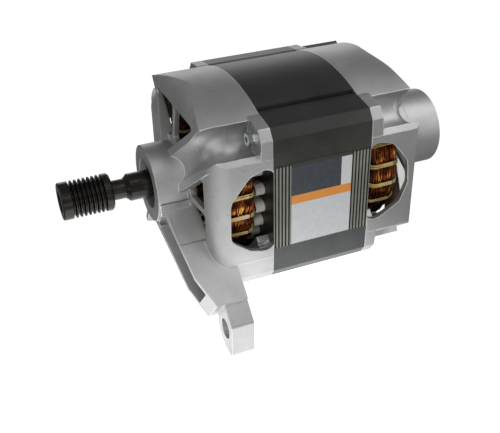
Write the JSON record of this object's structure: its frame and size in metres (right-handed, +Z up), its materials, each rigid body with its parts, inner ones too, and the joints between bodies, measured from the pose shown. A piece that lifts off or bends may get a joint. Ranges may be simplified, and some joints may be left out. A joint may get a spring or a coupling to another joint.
{
  "type": "washing machine motor",
  "caption": "Induction motor with a ribbed belt pulley, cast end shields with a mounting lug, open laminated core and laced end windings.",
  "frame": {"origin": "on the shaft axis, in the middle of the pulley's belt grooves", "axes": "+X along the shaft towards the rear boss, +Z up towards the crowned top of the core, the lug on the -Y side"},
  "size_m": [0.2215, 0.1331, 0.1244],
  "materials": {
    "cast_aluminium": "as cast, slightly rough",
    "core_steel": "dark varnish",
    "rotor_steel": "turned",
    "dark_steel": "black oxide, satin",
    "bearing_steel": "ground",
    "spring_steel": "blued",
    "zinc_steel": "zinc plated",
    "copper": "enamelled, glossy",
    "insulation": "matt",
    "lacing_cord": "matt",
    "lead_sleeve": "matt",
    "seal_rubber": "matt",
    "black_plastic": "fine grain",
    "magnet": "sintered"
  },
  "bodies": {
    "housing": {"stator_core": "core_steel", "slot_liners": "insulation", "slot_coils": "copper", "slot_wedges": "insulation", "front_end_winding": "copper", "rear_end_winding": "copper", "front_lacing": "lacing_cord", "rear_lacing": "lacing_cord", "thermal_protector": "black_plastic", "winding_leads": "lead_sleeve", "terminal_block": "black_plastic", "front_shield": "cast_aluminium", "rear_shield": "cast_aluminium", "through_bolts": "zinc_steel", "front_bearing_outer": "bearing_steel", "front_bearing_seals": "seal_rubber", "front_circlip": "spring_steel", "rear_bearing_outer": "bearing_steel", "rear_bearing_seals": "seal_rubber", "wave_washer": "spring_steel", "pickup_coil": "insulation", "boss_cap": "black_plastic"},
    "rotor": {"shaft": "dark_steel", "pulley": "dark_steel", "rotor_core": "rotor_steel", "rotor_cage": "cast_aluminium", "front_bearing_inner": "bearing_steel", "rear_bearing_inner": "bearing_steel", "magnet_ring": "magnet"},
    "front_cage": {"front_bearing_cage": "bearing_steel"},
    "rear_cage": {"rear_bearing_cage": "bearing_steel"}
  },
  "joints": [
    {"name": "rotor_spin", "type": "hinge", "parent": "housing", "child": "rotor", "pos_m": [0, 0, 0], "axis": [1, 0, 0], "continuous": true},
    {"name": "front_cage_spin", "type": "hinge", "parent": "housing", "child": "front_cage", "pos_m": [0.0431, 0, 0], "axis": [1, 0, 0], "continuous": true},
    {"name": "rear_cage_spin", "type": "hinge", "parent": "housing", "child": "rear_cage", "pos_m": [0.1763, 0, 0], "axis": [1, 0, 0], "continuous": true}
  ],
  "couplings": [
    {"joint": "front_cage_spin", "follows": "rotor_spin", "ratio": 0.3812},
    {"joint": "rear_cage_spin", "follows": "rotor_spin", "ratio": 0.3812}
  ]
}
